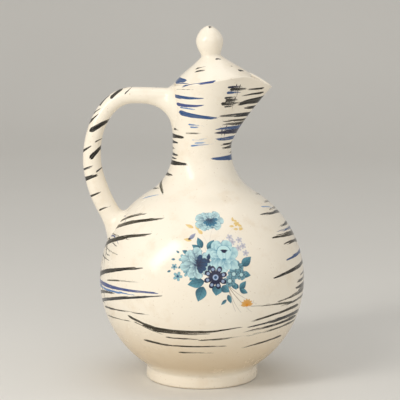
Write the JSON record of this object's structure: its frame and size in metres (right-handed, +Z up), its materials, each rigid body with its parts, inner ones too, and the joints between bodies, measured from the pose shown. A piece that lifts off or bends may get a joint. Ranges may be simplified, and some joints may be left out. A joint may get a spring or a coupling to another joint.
{
  "type": "pitcher",
  "caption": "Glazed ceramic pitcher with a round belly, narrow neck, beak spout, looped handle, foot ring and lift-off domed lid with a knob",
  "frame": {"origin": "centre of the foot ring's flat underside, on the axis of the belly and neck", "axes": "+X the way the spout points, so the handle is on -X; +Z up"},
  "size_m": [0.1855, 0.172, 0.297],
  "materials": {
    "glaze": "glossy ivory glaze with cobalt and olive brush strokes",
    "foot_glaze": "glossy ivory glaze, wiped thin at the standing edge",
    "bare_clay": "bare fired clay, matt"
  },
  "bodies": {
    "pitcher": {"belly": "glaze", "foot_ring": "foot_glaze", "neck": "glaze", "mouth": "glaze", "spout": "glaze", "handle": "glaze"},
    "lid": {"lid": "glaze", "lid_flange": "bare_clay", "lid_knob": "glaze"}
  },
  "joints": [
    {"name": "lid_lift", "type": "slide", "parent": "pitcher", "child": "lid", "axis": [-0.0958, 0, 0.9954], "range_m": [0, 0.06]}
  ]
}
